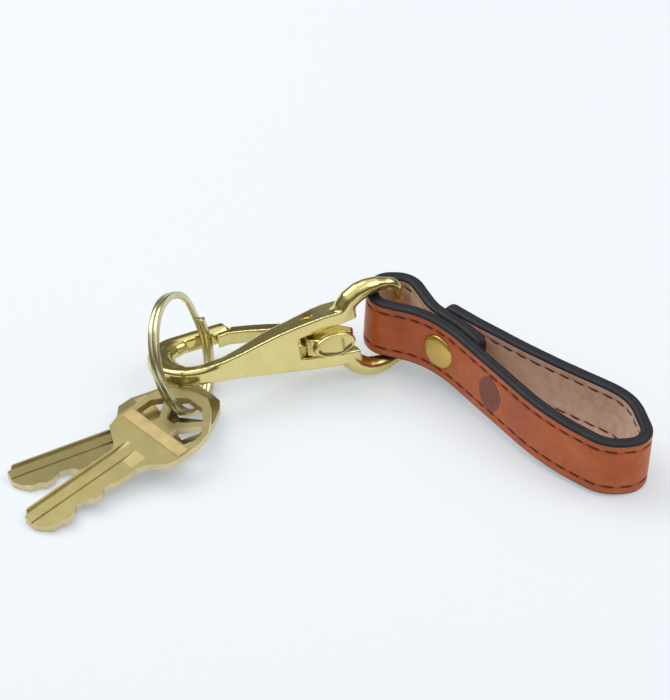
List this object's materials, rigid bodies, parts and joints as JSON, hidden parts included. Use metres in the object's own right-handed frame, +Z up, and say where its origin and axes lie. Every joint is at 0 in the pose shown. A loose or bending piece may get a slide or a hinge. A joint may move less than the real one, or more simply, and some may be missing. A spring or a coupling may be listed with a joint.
{
  "type": "keychain",
  "caption": "Stitched leather strap loop, riveted round the eye of a brass trigger snap that carries a split ring with door keys.",
  "frame": {"origin": "on the surface that the keychain lies on, under the middle of its box", "axes": "+X from the keys to the folded end of the strap, +Y away from the side the keys lie on, +Z up"},
  "size_m": [0.1434, 0.0701, 0.0274],
  "materials": {
    "leather": "tan grain leather with dark painted edges",
    "lining": "suede flesh side",
    "thread": "waxed dark brown thread",
    "rivet": "domed, polished",
    "cast_brass": "cast and polished",
    "pin": "turned, polished",
    "spring": "spring wire",
    "ring": "plated, polished",
    "key": "milled, satin"
  },
  "bodies": {
    "strap": {"strap_leather": "leather", "strap_lining": "lining", "stitching_upper": "thread", "stitching_lower": "thread", "rivet_cap": "rivet", "rivet_post": "rivet"},
    "snap": {"snap_body": "cast_brass", "gate_pin": "pin", "gate_spring": "spring"},
    "gate": {"gate_lever": "cast_brass"},
    "ring": {"split_ring": "ring"},
    "front_key": {"key_front": "key"},
    "rear_key": {"key_rear": "key"}
  },
  "joints": [
    {"name": "snap_swing", "type": "hinge", "parent": "strap", "child": "snap", "pos_m": [0.01628, 0.02673, 0.0122], "axis": [-0.1158, 0.1761, 0.9776], "range_deg": [-4, 9]},
    {"name": "gate_pivot", "type": "hinge", "parent": "snap", "child": "gate", "pos_m": [-0.00461, 0.02064, 0.01082], "axis": [-0.1158, 0.1761, 0.9776], "range_deg": [0, 16], "stiffness_Nm_per_rad": 0.02, "springref_deg": -11.46},
    {"name": "ring_swing", "type": "hinge", "parent": "snap", "child": "ring", "pos_m": [-0.02807, 0.02187, 0.00774], "axis": [-0.1826, 0.5436, 0.8192], "range_deg": [-50, 20]},
    {"name": "front_key_swing", "type": "hinge", "parent": "ring", "child": "front_key", "pos_m": [-0.03388, -0.00061, 0.00708], "axis": [0.4346, 0.4315, -0.7905], "range_deg": [-18, 4]},
    {"name": "rear_key_swing", "type": "hinge", "parent": "ring", "child": "rear_key", "pos_m": [-0.03146, 0.00276, 0.00333], "axis": [0.4117, 0.7475, -0.5213], "range_deg": [-18, 4]}
  ]
}
